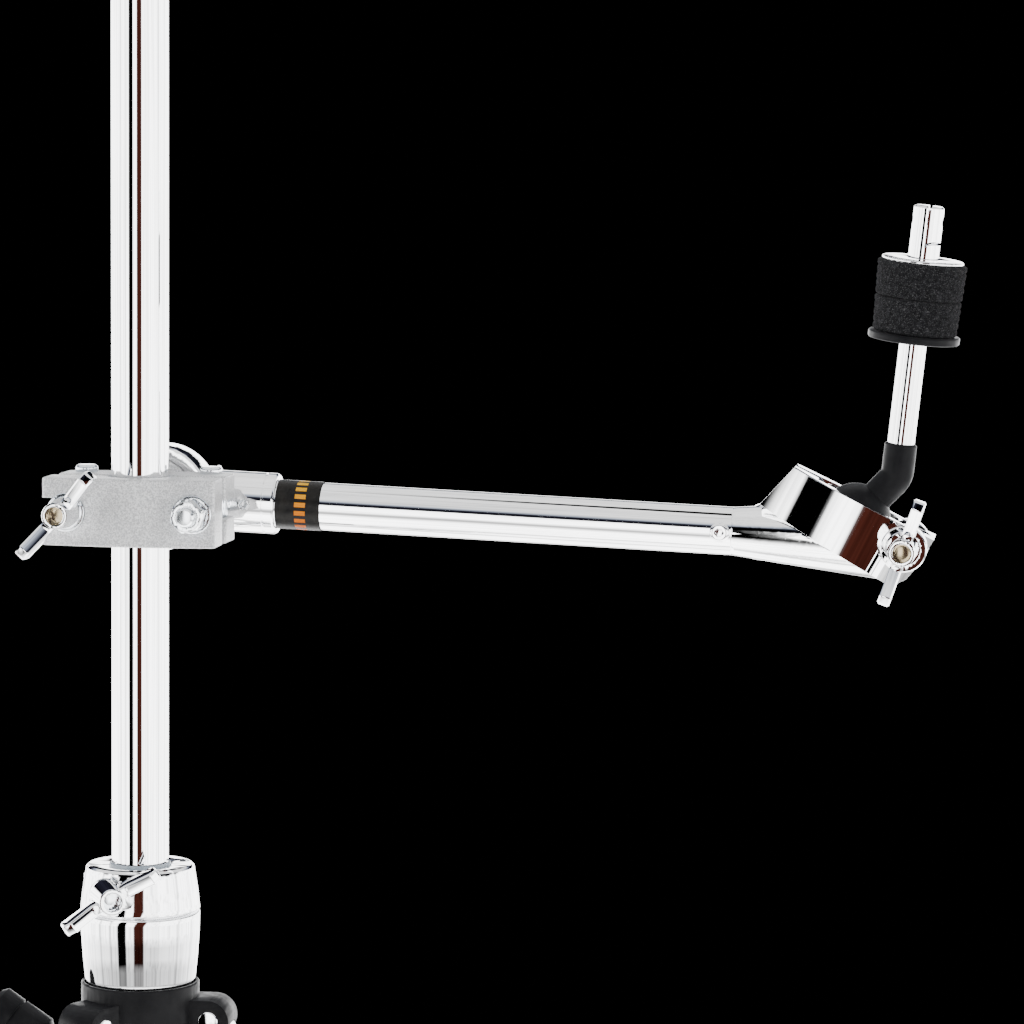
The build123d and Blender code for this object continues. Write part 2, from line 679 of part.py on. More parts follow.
def cymbal_seat():
    """Cup washer with a sleeve that keeps the cymbal off the stud."""
    cup = chamfer(cyl(SEAT_R, SEAT_THICK, (0, 0, SEAT_Z)).edges(), 0.5)
    cup += cyl(6.4, 33.4, (0, 0, SEAT_Z))
    return ROD * (cup - cyl(M8_R, 60, (0, 0, SEAT_Z - 10)))


def felt(low, height):
    start = low - SEAT_Z - SEAT_THICK
    radii = [FELT_FOOT_R + (FELT_R - FELT_FOOT_R) * at / FELT_HEIGHT for at in (start, start + height)]
    ring = ring_turn(((0, low), (radii[0], low), (radii[1], low + height), (0, low + height)))
    return ROD * (ring - cyl(6.9, height, (0, 0, low)))


def felt_washer():
    low = SEAT_Z + SEAT_THICK + FELT_HEIGHT
    disc = chamfer(cyl(18, 1.5, (0, 0, low)).edges(), 0.3)
    return ROD * (disc - cyl(7.1, 9, (0, 0, low - 1)))


TOP_Z = SEAT_Z + 33.4
TOGGLE_PIN_Z = SEAT_Z + SEAT_THICK + FELT_HEIGHT + 1.5 + TOP_POST_LENGTH - 6.5


def toggle_turn(extra):
    """Round end of the toggle, a cone about its pin."""
    profile = ((-0.01, 0), (0, 12 + extra), (7.2, 8.9 + extra), (7.2, 0))
    cone = revolve(make_face(Polyline(*[(x, y, 0) for x, y in profile], close=True)), Axis.X)
    return Pos(0, 0, TOGGLE_PIN_Z) * cone


def top_post():
    """Quick-release post: full round below, half round where the toggle lies against it."""
    high = TOGGLE_PIN_Z + 6.5
    body = cyl(TOP_POST_R, high - TOP_Z, (0, 0, TOP_Z))
    body = chamfer(body.edges().sort_by(Axis.Z)[-1], 0.8)
    body -= toggle_turn(1.2) & block((0, 20), (-20, 20), (TOGGLE_PIN_Z - 20, high + 5))
    body -= block((0, 20), (-20, 20), (TOGGLE_PIN_Z, high + 5))
    body -= cyl(M8_R, 1, (0, 0, TOP_Z))
    return ROD * (body - cyl(2, 20, (-10, 0, TOGGLE_PIN_Z), (1, 0, 0)))


def toggle_latch():
    """Swinging half of the quick release."""
    high = TOGGLE_PIN_Z + 6.5
    body = cyl(TOP_POST_R, 30, (0, 0, high - 30))
    body = chamfer(body.edges().sort_by(Axis.Z)[-1], 0.8)
    body &= toggle_turn(0)
    body &= block((0.2, 20), (-20, 20), (TOGGLE_PIN_Z - 20, high))
    body -= block((0, 1.4), (-20, 20), (high - 1.6, high + 1))
    return ROD * (body - cyl(2 + RUN, 20, (-10, 0, TOGGLE_PIN_Z), (1, 0, 0)))


def toggle_pin():
    return ROD * cyl(2, 12, (-6, 0, TOGGLE_PIN_Z), (1, 0, 0))


def main():
    save("base_tube", base_tube())
    save("base_plug", base_plug())
    save("barrel_collar", barrel_collar())
    save("barrel_body", barrel_body())
    save("barrel_bushing", barrel_bushing())
    save("height_bolt", height_bolt())
    save("height_washer", height_washer())
    save("height_wing_nut", height_wing_nut())
    save("leg_hub", leg_hub())
    save("hub_knob_stud", hub_knob_stud())
    save("hub_knob_grip", hub_knob_grip())
    save("hinge_pins", *hinge_pins())
    for number, azimuth in enumerate(LEG_AZIMUTHS, 1):
        save(f"leg_{number}", leg(azimuth))
        save(f"leg_{number}_foot", leg_foot(azimuth))
        save(f"leg_{number}_rivet", leg_rivet(azimuth))
        save(f"brace_{number}", *brace(azimuth))
    save("spread_collar", spread_collar())
    shank, head = spread_screw()
    save("spread_screw", shank + head)
    save("post", post())
    save("post_cap", post_cap())
    save("clamp_liner", clamp_liner())
    save("rear_jaw", rear_jaw())
    save("front_jaw", front_jaw())
    save("eye_bolt_left", eye_bolt(-1, -35))
    save("eye_bolt_right", eye_bolt(1, -38))
    save("clamp_pins", *clamp_pins())
    save("clamp_washers", *clamp_washers())
    save("clamp_nut", clamp_nut())
    save("clamp_wing_nut", clamp_wing_nut())
    save("boom_pivot_bolt", boom_pivot_bolt())
    save("boom_washer", boom_washer())
    save("boom_wing_nut", boom_wing_nut())
    save("boom_socket", boom_socket())
    save("socket_screw", socket_screw())
    save("boom_tube", boom_tube())
    save("boom_band", boom_band())
    save("boom_screw", boom_screw())
    save("tilter_body", tilter_body())
    save("tilter_cap", tilter_cap())
    save("tilter_bolt", tilter_bolt())
    save("tilter_wing_nut", tilter_wing_nut())
    save("ball_arm", ball_arm())
    save("cymbal_rod", cymbal_rod())
    save("cymbal_seat", cymbal_seat())
    half = FELT_HEIGHT / 2
    save("felt_lower", felt(SEAT_Z + SEAT_THICK, half))
    save("felt_upper", felt(SEAT_Z + SEAT_THICK + half, half))
    save("felt_washer", felt_washer())
    save("top_post", top_post())
    save("toggle_latch", toggle_latch())
    save("toggle_pin", toggle_pin())


main()
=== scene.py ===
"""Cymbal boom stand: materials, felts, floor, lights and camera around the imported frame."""
import json
import math
import random

import bmesh
import bpy
from mathutils import Matrix, Vector


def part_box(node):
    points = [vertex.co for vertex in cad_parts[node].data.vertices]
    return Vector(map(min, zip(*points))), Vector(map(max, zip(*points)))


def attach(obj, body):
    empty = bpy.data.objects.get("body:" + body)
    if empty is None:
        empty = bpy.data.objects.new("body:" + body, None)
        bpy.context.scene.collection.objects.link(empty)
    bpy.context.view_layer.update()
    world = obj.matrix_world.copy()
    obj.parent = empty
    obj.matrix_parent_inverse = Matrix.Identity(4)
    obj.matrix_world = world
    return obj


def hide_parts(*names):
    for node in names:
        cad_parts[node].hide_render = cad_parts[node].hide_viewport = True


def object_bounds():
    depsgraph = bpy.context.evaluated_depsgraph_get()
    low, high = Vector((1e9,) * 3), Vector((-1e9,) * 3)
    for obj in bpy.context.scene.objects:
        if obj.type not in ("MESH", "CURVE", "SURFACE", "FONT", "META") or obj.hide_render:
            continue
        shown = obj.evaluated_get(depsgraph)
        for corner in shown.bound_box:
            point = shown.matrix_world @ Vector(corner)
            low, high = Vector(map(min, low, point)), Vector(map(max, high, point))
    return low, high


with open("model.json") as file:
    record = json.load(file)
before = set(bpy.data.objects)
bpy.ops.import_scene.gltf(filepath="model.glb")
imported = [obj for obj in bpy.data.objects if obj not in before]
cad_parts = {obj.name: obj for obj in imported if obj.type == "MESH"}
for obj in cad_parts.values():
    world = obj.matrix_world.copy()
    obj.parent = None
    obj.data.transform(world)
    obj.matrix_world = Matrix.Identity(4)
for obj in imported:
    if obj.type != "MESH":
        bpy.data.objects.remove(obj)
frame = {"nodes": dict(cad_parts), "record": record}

CAD_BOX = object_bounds()
NODES = frame["nodes"]
RECORD = frame["record"]
JOINTS = {j["name"]: j for j in RECORD["behaviour"]["joints"]}
CLAMP_Z = JOINTS["clamp_swivel"]["pos_m"][2]


# node helpers


def new_material(name):
    mat = bpy.data.materials.new(name)
    mat.use_nodes = True
    tree = mat.node_tree
    return mat, tree, tree.nodes["Principled BSDF"]


def coords(tree):
    return tree.nodes.new("ShaderNodeTexCoord").outputs["Object"]


def mapped(tree, scale=(1, 1, 1), rotation=(0, 0, 0), location=(0, 0, 0)):
    node = tree.nodes.new("ShaderNodeMapping")
    node.inputs["Scale"].default_value = scale
    node.inputs["Rotation"].default_value = rotation
    node.inputs["Location"].default_value = location
    tree.links.new(coords(tree), node.inputs["Vector"])
    return node.outputs["Vector"]


def noise(tree, scale, detail=3.0, vector=None, roughness=0.5):
    node = tree.nodes.new("ShaderNodeTexNoise")
    node.inputs["Scale"].default_value = scale
    node.inputs["Detail"].default_value = detail
    node.inputs["Roughness"].default_value = roughness
    tree.links.new(vector or coords(tree), node.inputs["Vector"])
    return node.outputs["Fac"]


def ramp(tree, fac, stops, mode="LINEAR"):
    node = tree.nodes.new("ShaderNodeValToRGB")
    node.color_ramp.interpolation = mode
    elements = node.color_ramp.elements
    while len(elements) < len(stops):
        elements.new(0.5)
    for element, (place, colour) in zip(elements, stops):
        element.position = place
        element.color = (*colour, 1) if len(colour) == 3 else colour
    tree.links.new(fac, node.inputs["Fac"])
    return node.outputs["Color"]


def grey(value):
    return (value, value, value)


def bump(tree, height, strength, distance, before=None):
    node = tree.nodes.new("ShaderNodeBump")
    node.inputs["Strength"].default_value = strength
    node.inputs["Distance"].default_value = distance
    tree.links.new(height, node.inputs["Height"])
    if before:
        tree.links.new(before, node.inputs["Normal"])
    return node.outputs["Normal"]


def math_node(tree, operation, a, b=None):
    node = tree.nodes.new("ShaderNodeMath")
    node.operation = operation
    for socket, value in zip(node.inputs, (a, b)):
        if value is None:
            continue
        if isinstance(value, (int, float)):
            socket.default_value = value
        else:
            tree.links.new(value, socket)
    return node.outputs[0]


def vector_node(tree, operation, a, b=None, scale=None):
    """Vector Math node whose inputs are constants or links."""
    node = tree.nodes.new("ShaderNodeVectorMath")
    node.operation = operation
    for socket, value in zip(node.inputs, (a, b)):
        if isinstance(value, (tuple, Vector)):
            socket.default_value = value
        elif value is not None:
            tree.links.new(value, socket)
    if scale is not None:
        tree.links.new(scale, node.inputs["Scale"])
    return node


def dot(tree, a, b):
    return vector_node(tree, "DOT_PRODUCT", a, b).outputs["Value"]


def multiply_add(tree, value, factor, addend):
    node = math_node(tree, "MULTIPLY_ADD", value, factor).node
    node.inputs[2].default_value = addend
    return node.outputs[0]


def blend(tree, mode, factor, a, b):
    """Colour mix whose factor and colours are constants or links."""
    node = tree.nodes.new("ShaderNodeMix")
    node.data_type = "RGBA"
    node.blend_type = mode
    for name, value in (("Factor", factor), ("A", a), ("B", b)):
        if isinstance(value, (int, float, tuple)):
            node.inputs[name].default_value = value
        else:
            tree.links.new(value, node.inputs[name])
    return node.outputs["Result"]


# materials

THREAD_PITCH = 0.00125
BAND_BARS = 18
BAND_BAR_SHARE = 0.55
BAND_BAR_REACH = 1.9
BAND_BAR_PLACE = 0.0013
BAND_BAR_HALF = 0.0025
BAND_FADE_PER_METRE = 46.0
FACING_LIMIT = 0.965
OLD_STEEL = (0.34, 0.27, 0.17)


def chrome():
    """Bright plate with faint haze and small wipe marks in its roughness."""
    mat, tree, shader = new_material("chrome_plate")
    shader.inputs["Metallic"].default_value = 1
    haze = noise(tree, 55, 4)
    specks = noise(tree, 900, 2)
    rough = ramp(tree, haze, ((0.35, grey(0.015)), (0.75, grey(0.045))))
    colour = ramp(tree, noise(tree, 12, 2), ((0.3, (0.90, 0.905, 0.915)), (0.7, (0.95, 0.95, 0.955))))
    tree.links.new(colour, shader.inputs["Base Color"])
    tree.links.new(rough, shader.inputs["Roughness"])
    tree.links.new(bump(tree, specks, 0.02, 0.00003), shader.inputs["Normal"])
    return mat


def zinc():
    """Zinc-plated steel with a cool, slightly iridescent cast and fine machining grain."""
    mat, tree, shader = new_material("zinc_plate")
    shader.inputs["Metallic"].default_value = 1
    tint = ramp(tree, noise(tree, 45, 2), (
        (0.25, (0.72, 0.78, 0.84)), (0.5, (0.82, 0.85, 0.88)), (0.78, (0.84, 0.84, 0.82))))
    tree.links.new(tint, shader.inputs["Base Color"])
    rough = ramp(tree, noise(tree, 300, 3), ((0.3, grey(0.13)), (0.7, grey(0.21))))
    tree.links.new(rough, shader.inputs["Roughness"])
    tree.links.new(bump(tree, noise(tree, 2200, 2), 0.06, 0.00003), shader.inputs["Normal"])
    return mat


def cast_aluminium():
    """Blasted casting: pale grey, with bright specks painted into its colour as glints of the crystals."""
    mat, tree, shader = new_material("cast_aluminium")
    shader.inputs["Metallic"].default_value = 0.2
    grain = noise(tree, 1500, 2, roughness=0.6)
    cloud = noise(tree, 60, 4)
    # painted highlight: the grain's white top stop paints glints of the crystals into the colour; the grey
    # stops and the cloudy tone are the casting's own, and the lower roughness on the grain is real shine
    base = ramp(tree, grain, (
        (0.38, (0.52, 0.52, 0.53)), (0.52, (0.74, 0.74, 0.745)), (0.64, grey(1.0))))
    shade = ramp(tree, cloud, ((0.3, grey(0.88)), (0.7, grey(1.0))))
    tree.links.new(blend(tree, "MULTIPLY", 0.5, base, shade), shader.inputs["Base Color"])
    rough = ramp(tree, grain, ((0.4, grey(0.46)), (0.7, grey(0.24))))
    tree.links.new(rough, shader.inputs["Roughness"])
    first = bump(tree, grain, 0.55, 0.00012)
    tree.links.new(bump(tree, noise(tree, 420, 3), 0.25, 0.00015, first), shader.inputs["Normal"])
    return mat


def moulded(name, dark, light, rough, pit=0.25):
    """Moulded black plastic or rubber with a fine spark-eroded grain."""
    mat, tree, shader = new_material(name)
    tree.links.new(ramp(tree, noise(tree, 90, 4), ((0.3, dark), (0.72, light))), shader.inputs["Base Color"])
    spread = ramp(tree, noise(tree, 260, 3), ((0.3, grey(rough - 0.07)), (0.7, grey(rough + 0.08))))
    tree.links.new(spread, shader.inputs["Roughness"])
    tree.links.new(bump(tree, noise(tree, 1500, 3), pit, 0.00012), shader.inputs["Normal"])
    shader.inputs["Specular IOR Level"].default_value = 0.07
    return mat


def nylon():
    """Bluish grey nylon of the guide ring and liner."""
    mat, tree, shader = new_material("grey_nylon")
    tree.links.new(
        ramp(tree, noise(tree, 120, 3), ((0.3, (0.36, 0.43, 0.50)), (0.7, (0.50, 0.56, 0.62)))),
        shader.inputs["Base Color"])
    tree.links.new(ramp(tree, noise(tree, 400, 2), ((0.3, grey(0.3)), (0.7, grey(0.42)))),
                   shader.inputs["Roughness"])
    return mat


def felt_material():
    """Dark grey wool felt with pale stray fibres."""
    mat, tree, shader = new_material("wool_felt")
    clumps = noise(tree, 480, 5, roughness=0.65)
    fibre = noise(tree, 1900, 3, roughness=0.8)
    base = ramp(tree, clumps, ((0.30, (0.006, 0.006, 0.007)), (0.52, (0.017, 0.017, 0.019)),
                               (0.72, (0.042, 0.042, 0.046))))
    pale = ramp(tree, fibre, ((0.56, grey(0.0)), (0.66, grey(0.26))))
    tree.links.new(blend(tree, "ADD", 0.55, base, pale), shader.inputs["Base Color"])
    shader.inputs["Roughness"].default_value = 0.95
    shader.inputs["Sheen Weight"].default_value = 0.05
    shader.inputs["Sheen Roughness"].default_value = 0.6
    shader.inputs["Specular IOR Level"].default_value = 0.02
    first = bump(tree, clumps, 0.9, 0.0009)
    tree.links.new(bump(tree, fibre, 0.9, 0.0004, first), shader.inputs["Normal"])
    return mat


def band_material(node, axis):
    """Black film with plain orange-to-yellow bars round the boom and no lettering."""
    mat, tree, shader = new_material("printed_band")
    low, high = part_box(node)
    side = Vector((0, 1, 0))
    offset = vector_node(tree, "SUBTRACT", coords(tree), (low + high) / 2).outputs[0]
    u, y, z = (dot(tree, offset, direction) for direction in (axis, side, axis.cross(side)))

    turn = math_node(tree, "ARCTAN2", z, math_node(tree, "MULTIPLY", y, -1))
    bars = math_node(tree, "FRACT", math_node(tree, "MULTIPLY", turn, BAND_BARS / math.tau))
    bar = math_node(tree, "LESS_THAN", bars, BAND_BAR_SHARE)
    inside = math_node(tree, "COMPARE", u, BAND_BAR_PLACE)
    inside.node.inputs[2].default_value = BAND_BAR_HALF
    reach = math_node(tree, "LESS_THAN", math_node(tree, "ABSOLUTE", turn), BAND_BAR_REACH)
    mask = math_node(tree, "MULTIPLY", math_node(tree, "MULTIPLY", bar, inside), reach)

    height = multiply_add(tree, z, BAND_FADE_PER_METRE, 0.5)
    bright = ramp(tree, height, (
        (0.0, (0.95, 0.17, 0.01)), (0.5, (0.98, 0.30, 0.01)), (1.0, (1.0, 0.55, 0.02))))
    film = ramp(tree, noise(tree, 200, 3), (
        (0.3, (0.012, 0.012, 0.012)), (0.7, (0.028, 0.026, 0.024))))
    tree.links.new(blend(tree, "MIX", mask, film, bright), shader.inputs["Base Color"])
    tree.links.new(ramp(tree, noise(tree, 300, 2), ((0.3, grey(0.22)), (0.7, grey(0.34)))),
                   shader.inputs["Roughness"])
    shader.inputs["Specular IOR Level"].default_value = 0.06
    tree.links.new(bump(tree, mask, 0.2, 0.00004), shader.inputs["Normal"])
    return mat


def round_normal(mat, point, axis):
    """True cylinder normals about an axis, used wherever the surface faces away from that axis."""
    tree = mat.node_tree
    point, axis = Vector(point), Vector(axis)
    offset = vector_node(tree, "SUBTRACT", coords(tree), point).outputs[0]
    line = vector_node(tree, "SCALE", axis, scale=dot(tree, offset, axis)).outputs[0]
    outward = vector_node(tree, "SUBTRACT", offset, line).outputs[0]
    radial = vector_node(tree, "NORMALIZE", outward).outputs[0]
    world = tree.nodes.new("ShaderNodeVectorTransform")
    world.vector_type = "NORMAL"
    world.convert_from = "OBJECT"
    world.convert_to = "WORLD"
    tree.links.new(radial, world.inputs[0])
    turned = vector_node(tree, "NORMALIZE", world.outputs[0]).outputs[0]
    surface = tree.nodes.new("ShaderNodeNewGeometry")
    facing = dot(tree, turned, surface.outputs["True Normal"])
    mix = tree.nodes.new("ShaderNodeMix")
    mix.data_type = "VECTOR"
    tree.links.new(math_node(tree, "GREATER_THAN", facing, FACING_LIMIT), mix.inputs["Factor"])
    tree.links.new(surface.outputs["Normal"], mix.inputs[4])
    tree.links.new(turned, mix.inputs[5])
    last_bump = tree.nodes["Principled BSDF"].inputs["Normal"].links[0].from_node
    tree.links.new(mix.outputs[1], last_bump.inputs["Normal"])


def threaded(axis, name):
    """Zinc plate with a screw thread along an axis."""
    mat = zinc()
    mat.name = name
    tree = mat.node_tree
    shader = tree.nodes["Principled BSDF"]
    turns = math_node(tree, "MULTIPLY", dot(tree, coords(tree), axis), 1 / THREAD_PITCH)
    saw = math_node(tree, "PINGPONG", turns, 0.5)
    old = shader.inputs["Normal"].links[0].from_socket
    tree.links.new(bump(tree, saw, 0.9, 0.0005, old), shader.inputs["Normal"])
    return mat


def darken_to_brown(mat):
    """Tints plated steel like an old, dark bolt end."""
    tint = mat.node_tree.nodes["Principled BSDF"].inputs["Base Color"].links[0].from_node
    for stop in tint.color_ramp.elements:
        stop.color = (*(c * part for c, part in zip(stop.color, OLD_STEEL)), 1)


# frame nodes: materials and softened edges

DROOP = math.radians(2.23)
BOOM_AXIS = Vector((math.cos(DROOP), 0, -math.sin(DROOP)))
BOOM_UP = Vector((math.sin(DROOP), 0, math.cos(DROOP)))
BOOM_START = Vector(JOINTS["boom_tilt"]["pos_m"])
ROD_AXIS = Vector(JOINTS["felt_slide"]["axis"])
ROD_PIN = Vector(JOINTS["toggle_flip"]["pos_m"])
POST_LINE = ((0, 0, 0), (0, 0, 1))
BOOM_LINE = (BOOM_START, BOOM_AXIS)
ROD_LINE = (ROD_PIN, ROD_AXIS)

# the tilter's front cheek is part of a wide cylinder: its axis leans and stands behind the cheek
CHEEK_LEAN = math.radians(24.3)
CHEEK_ALONG, CHEEK_UP, CHEEK_BACK = 0.3113, 0.006, 0.073
CHEEK_LINE = (
    BOOM_START + BOOM_AXIS * CHEEK_ALONG + BOOM_UP * CHEEK_UP + Vector((0, CHEEK_BACK, 0)),
    BOOM_AXIS * math.sin(CHEEK_LEAN) + BOOM_UP * math.cos(CHEEK_LEAN))

BY_SLOT = {
    "chrome": chrome(),
    "zinc_steel": zinc(),
    "cast_aluminium": cast_aluminium(),
    "black_plastic": moulded("black_plastic", (0.006, 0.006, 0.007), (0.014, 0.014, 0.015), 0.42),
    "black_rubber": moulded("black_rubber", grey(0.007), grey(0.017), 0.68, 0.4),
    "grey_nylon": nylon(),
    "grey_felt": felt_material(),
    "printed_band": band_material("boom_band", BOOM_AXIS),
}
SLOT_OF = {part["node"]: part["material_slot"] for part in RECORD["subparts"]}
THREAD_AXIS = {
    "eye_bolt_left": (0, 1, 0), "eye_bolt_right": (0, 1, 0), "boom_pivot_bolt": (0, 1, 0),
    "tilter_bolt": (0, 1, 0), "height_bolt": tuple(JOINTS["height_wing_turn"]["axis"]),
}
DARK_ENDS = ("tilter_bolt", "eye_bolt_left")
TURNED = {
    "post": POST_LINE, "base_tube": POST_LINE, "boom_tube": BOOM_LINE, "boom_socket": BOOM_LINE,
    "boom_band": BOOM_LINE, "cymbal_rod": ROD_LINE, "top_post": ROD_LINE, "toggle_latch": ROD_LINE,
    "tilter_cap": CHEEK_LINE,
}
FINE_BEVEL = 0.0003
BEVEL = {
    "rear_jaw": 0.0006, "front_jaw": 0.0006, "tilter_body": 0.0005, "tilter_cap": 0.0005,
    "leg_hub": 0.0008, "spread_collar": 0.0008,
}


def soften(obj, width):
    """Weld the imported vertices, then round each hard edge so that it catches light."""
    weld = obj.modifiers.new("weld", "WELD")
    weld.merge_threshold = 0.00001
    edge = obj.modifiers.new("edges", "BEVEL")
    edge.width = width
    edge.segments = 2
    edge.limit_method = "ANGLE"
    edge.angle_limit = math.radians(32)
    edge.use_clamp_overlap = True
    edge.harden_normals = True


def material_of(node_name):
    mat = BY_SLOT[SLOT_OF[node_name]]
    if node_name in THREAD_AXIS:
        mat = threaded(THREAD_AXIS[node_name], f"thread_{node_name}")
    if node_name in DARK_ENDS:
        darken_to_brown(mat)
    if node_name in TURNED:
        mat = mat.copy()
        mat.name = f"{mat.name}_{node_name}"
        round_normal(mat, *TURNED[node_name])
    return mat


for node_name, node in NODES.items():
    node.data.materials.clear()
    node.data.materials.append(material_of(node_name))
    for polygon in node.data.polygons:
        polygon.use_smooth = True
    soften(node, BEVEL.get(node_name, FINE_BEVEL))


# felts: each ring replaces a plain one and stands on the rod, measured down from the toggle's pin

FELT_TOP = -0.0182
FELT_HEIGHT = 0.0315
FELT_OUTER = 0.0199
FELT_INNER = 0.0072
FELT_TAPER = 0.0012
FELT_GAP = 0.0001
FELT_LAYERS = 5
FELT_SIDES = 216
ROWS_PER_LAYER = 6
RAGGED_WAVES = 5
LAYER_BULGE = 0.0005
LAYER_INSET = 0.0007
RAGGED_DEPTH = 0.0003
FUZZ = 0.0002
EDGE_INSET = 0.0006


def hole_loop(mesh, z):
    turns = [math.tau * k / FELT_SIDES for k in range(FELT_SIDES)]
    return [mesh.verts.new((FELT_INNER * math.cos(a), FELT_INNER * math.sin(a), z)) for a in turns]


def raggedness(waves, a):
    """Uneven outline of one layer: a sum of sine waves of rising frequency."""
    total = sum(
        waves[i] * math.sin((3 + 4 * i) * a + waves[(i + 2) % RAGGED_WAVES] * 5) for i in range(RAGGED_WAVES))
    return total / RAGGED_WAVES


def felt_ring(name, low, height, layers, seed):
    """Layered felt ring with bulging, ragged layers, standing on the rod's axis."""
    rng = random.Random(seed)
    rows = layers * ROWS_PER_LAYER
    mesh = bmesh.new()
    waves = [[rng.uniform(-1, 1) for _ in range(RAGGED_WAVES)] for _ in range(layers)]
    rings = []
    for row in range(rows + 1):
        t = row / rows
        layer = min(int(t * layers), layers - 1)
        inside = (t * layers) % 1 if row < rows else 1
        bulge = math.sin(math.pi * inside) ** 0.6 if 0 < inside < 1 else 0
        loop = []
        for k in range(FELT_SIDES):
            a = math.tau * k / FELT_SIDES
            r = FELT_OUTER - FELT_TAPER * (FELT_TOP - low - height * t) / FELT_HEIGHT
            r += LAYER_BULGE * bulge - LAYER_INSET + RAGGED_DEPTH * raggedness(waves[layer], a)
            r += rng.uniform(-FUZZ, FUZZ)
            if row in (0, rows):
                r -= EDGE_INSET
            loop.append(mesh.verts.new((r * math.cos(a), r * math.sin(a), low + height * t)))
        rings.append(loop)
    rings += [hole_loop(mesh, low + height), hole_loop(mesh, low), rings[0]]
    for lower, upper in zip(rings, rings[1:]):
        for k in range(FELT_SIDES):
            n = (k + 1) % FELT_SIDES
            mesh.faces.new((lower[k], lower[n], upper[n], upper[k]))
    bmesh.ops.recalc_face_normals(mesh, faces=mesh.faces)
    data = bpy.data.meshes.new(name)
    mesh.to_mesh(data)
    mesh.free()
    for polygon in data.polygons:
        polygon.use_smooth = True
    obj = bpy.data.objects.new(name, data)
    bpy.context.scene.collection.objects.link(obj)
    return obj


ROD_X = Vector(JOINTS["toggle_flip"]["axis"]).normalized()
ROD_FRAME = Matrix((ROD_X, ROD_AXIS.cross(ROD_X), ROD_AXIS)).transposed()
HALF = FELT_HEIGHT / 2

for felt_name, low, seed in (
        ("felt_lower", FELT_TOP - FELT_HEIGHT, 3), ("felt_upper", FELT_TOP - HALF, 8)):
    ring = felt_ring(felt_name + "_wool", low + FELT_GAP, HALF - 2 * FELT_GAP, FELT_LAYERS, seed)
    ring.data.transform(Matrix.Translation(ROD_PIN) @ ROD_FRAME.to_4x4())
    ring.data.materials.append(BY_SLOT["grey_felt"])
    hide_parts(felt_name)
    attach(ring, "felts")


# floor


def floor():
    mesh = bmesh.new()
    bmesh.ops.create_circle(mesh, cap_ends=True, segments=192, radius=1.5)
    data = bpy.data.meshes.new("floor")
    mesh.to_mesh(data)
    mesh.free()
    obj = bpy.data.objects.new("floor", data)
    bpy.context.scene.collection.objects.link(obj)
    obj.location.z = CAD_BOX[0][2] - 0.0005
    mat, tree, shader = new_material("pale_floor")
    pale = ramp(tree, noise(tree, 6, 4), ((0.3, grey(0.74)), (0.7, grey(0.80))))
    tree.links.new(pale, shader.inputs["Base Color"])
    shader.inputs["Roughness"].default_value = 0.7
    data.materials.append(mat)
    obj.visible_glossy = False


floor()


# surroundings: dark where the camera looks past the stand, a light tent in every reflection

CAMERA_AZIMUTH = 8.0
MIRROR_TENT = 8.0
SOFT_TENT = 1.6
RIPPLES = 9.0
DARK_RED = (0.012, 0.003, 0.002)

# degrees to the right of the camera's own direction, with the level seen there
COLUMNS = (
    (-178, 0.9), (-150, 1.0), (-84, 0.95), (-80, 0.35), (-76, 0.9), (-60, 0.95), (-56, 0.30), (-52, 0.9),
    (-42, 0.9), (-40, 0.0), (-24, 0.0), (-22, 0.95), (-9, 0.95), (-7, DARK_RED), (11, DARK_RED), (13, 0.92),
    (38, 0.75), (42, 1.0), (80, 0.92), (84, 0.42), (88, 0.95), (118, 1.0), (122, 0.6), (126, 1.0),
    (150, 1.0), (178, 0.9))
# degrees over the horizon, with the level seen there
ROWS = (
    (-90, 0.9), (-80, 0.9), (-76, 0.22), (-71, 1.0), (-40, 1.0), (-35, 0.6), (-26, 0.10), (-20, 0.25),
    (-12, 0.9), (10, 0.85), (13, 0.0), (24, (0.003, 0.003, 0.005)), (31, (0.10, 0.11, 0.13)), (38, 0.24),
    (60, 0.22), (81, 0.26), (84, 0.0), (90, 0.0))


def by_degrees(table, span):
    """Ramp stops from degrees and levels, for a range of span degrees about zero."""
    return [(degrees / span + 0.5, level if isinstance(level, tuple) else grey(level))
            for degrees, level in table]


def tent_colour(tree):
    """Light of the tent by direction: rows everywhere, and columns that fade out high up and low down."""
    direction = tree.nodes.new("ShaderNodeTexCoord").outputs["Generated"]
    a = math.radians(CAMERA_AZIMUTH)
    front, right = (math.sin(a), -math.cos(a), 0), (math.cos(a), math.sin(a), 0)
    azimuth = math_node(tree, "ARCTAN2", dot(tree, direction, right), dot(tree, direction, front))
    height = math_node(tree, "ARCSINE", dot(tree, direction, (0, 0, 1)))
    columns = ramp(tree, multiply_add(tree, azimuth, 1 / math.tau, 0.5), by_degrees(COLUMNS, 360))
    rows = ramp(tree, multiply_add(tree, height, 1 / math.pi, 0.5), by_degrees(ROWS, 180))
    steep = ramp(tree, math_node(tree, "ABSOLUTE", height), ((0.36, grey(0.0)), (0.50, grey(1.0))))
    faded = blend(tree, "MIX", steep, columns, (0.95, 0.95, 0.95, 1))
    flicker = tree.nodes.new("ShaderNodeCombineXYZ")
    tree.links.new(math_node(tree, "MULTIPLY", azimuth, RIPPLES), flicker.inputs["X"])
    tree.links.new(math_node(tree, "MULTIPLY", height, RIPPLES), flicker.inputs["Y"])
    ripple = ramp(tree, noise(tree, 1.6, 3, flicker.outputs[0]), ((0.36, grey(0.62)), (0.52, grey(1.0))))
    return blend(tree, "MULTIPLY", 1, blend(tree, "MULTIPLY", 1, faded, rows), ripple)


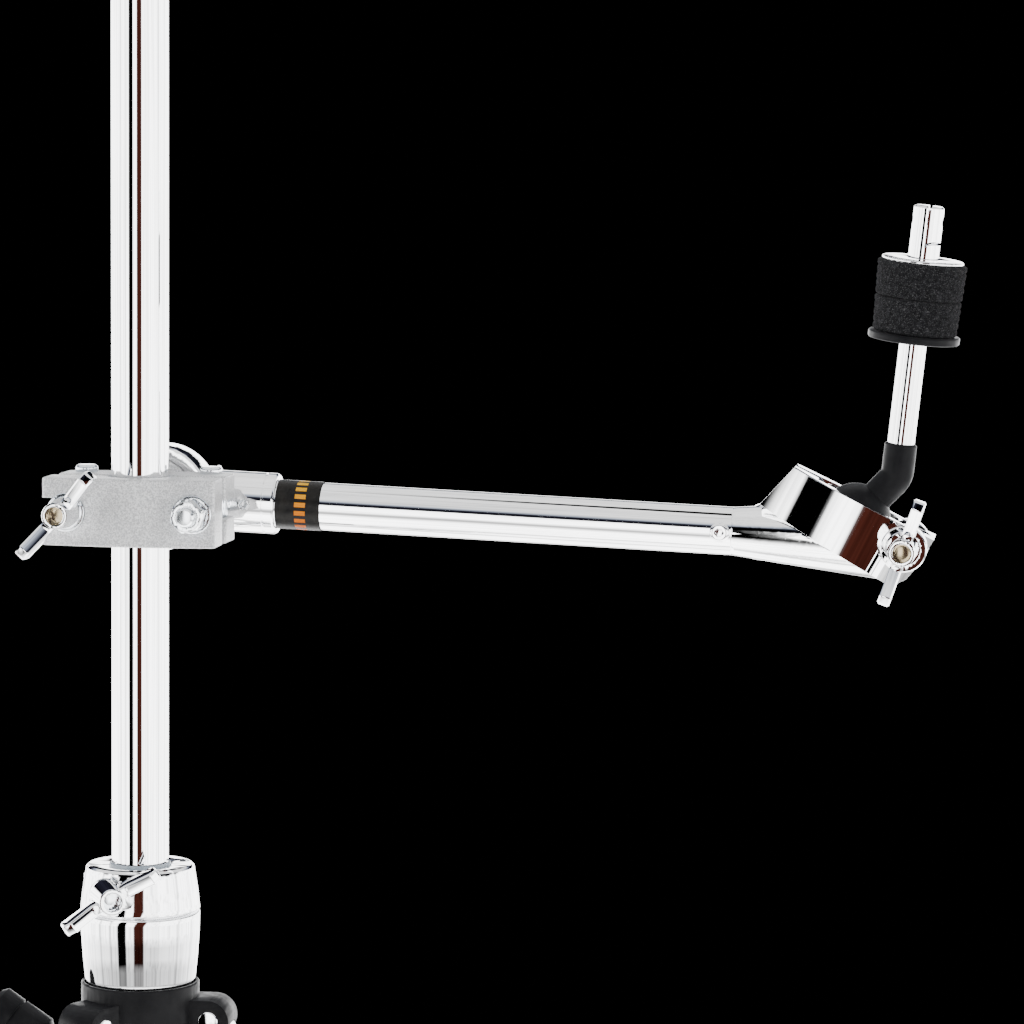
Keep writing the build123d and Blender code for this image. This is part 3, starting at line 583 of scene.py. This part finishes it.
def surroundings():
    """World: black to the camera, the tent to reflections, a weaker tent to diffuse light."""
    world = bpy.data.worlds.new("tent")
    world.use_nodes = True
    bpy.context.scene.world = world
    tree = world.node_tree
    tree.nodes.clear()
    path = tree.nodes.new("ShaderNodeLightPath")
    strength = multiply_add(tree, path.outputs["Is Diffuse Ray"], SOFT_TENT - MIRROR_TENT, MIRROR_TENT)
    bright = tree.nodes.new("ShaderNodeBackground")
    tree.links.new(tent_colour(tree), bright.inputs["Color"])
    tree.links.new(strength, bright.inputs["Strength"])
    dark = tree.nodes.new("ShaderNodeBackground")
    dark.inputs["Color"].default_value = (0, 0, 0, 1)
    choice = tree.nodes.new("ShaderNodeMixShader")
    tree.links.new(path.outputs["Is Camera Ray"], choice.inputs["Fac"])
    tree.links.new(bright.outputs[0], choice.inputs[1])
    tree.links.new(dark.outputs[0], choice.inputs[2])
    out = tree.nodes.new("ShaderNodeOutputWorld")
    tree.links.new(choice.outputs[0], out.inputs["Surface"])


def softbox(name, place, target, size, watts):
    light = bpy.data.lights.new(name, "AREA")
    light.shape = "RECTANGLE"
    light.size, light.size_y = size
    light.energy = watts
    obj = bpy.data.objects.new(name, light)
    obj.location = place
    obj.rotation_euler = (Vector(target) - Vector(place)).to_track_quat("-Z", "Y").to_euler()
    obj.visible_camera = False
    obj.visible_glossy = False
    bpy.context.scene.collection.objects.link(obj)


# camera

CAMERA_PITCH = 5.2
CAMERA_ROLL = 0.45
CAMERA_DISTANCE = 1.78
LENS = 140.6
AIM = (-0.1655, 0.0013)


def camera():
    """Long-lens view a little from the boom's side, with the post left of centre."""
    a, p, r = (math.radians(v) for v in (CAMERA_AZIMUTH, CAMERA_PITCH, CAMERA_ROLL))
    forward = Vector((-math.sin(a) * math.cos(p), math.cos(a) * math.cos(p), -math.sin(p)))
    level = Vector((math.cos(a), math.sin(a), 0))
    right = level * math.cos(r) + level.cross(forward) * math.sin(r)
    up = right.cross(forward)
    post = Vector((0, 0, CLAMP_Z))
    place = post - right * AIM[0] - up * AIM[1] - forward * CAMERA_DISTANCE
    data = bpy.data.cameras.new("camera")
    data.lens = LENS
    data.sensor_width = 36
    data.clip_start = 0.05
    obj = bpy.data.objects.new("camera", data)
    obj.matrix_world = Matrix.Translation(place) @ Matrix((right, up, -forward)).transposed().to_4x4()
    bpy.context.scene.collection.objects.link(obj)
    bpy.context.scene.camera = obj


surroundings()
softbox("key", (-1.1, -1.6, 1.9), (0.1, 0, 0.7), (0.9, 0.9), 22)
softbox("fill", (1.5, -1.2, 1.3), (0.2, 0, 0.7), (1.0, 1.0), 10)
softbox("rear", (0.6, 1.7, 1.8), (0.1, 0, 0.7), (1.2, 0.8), 16)
camera()
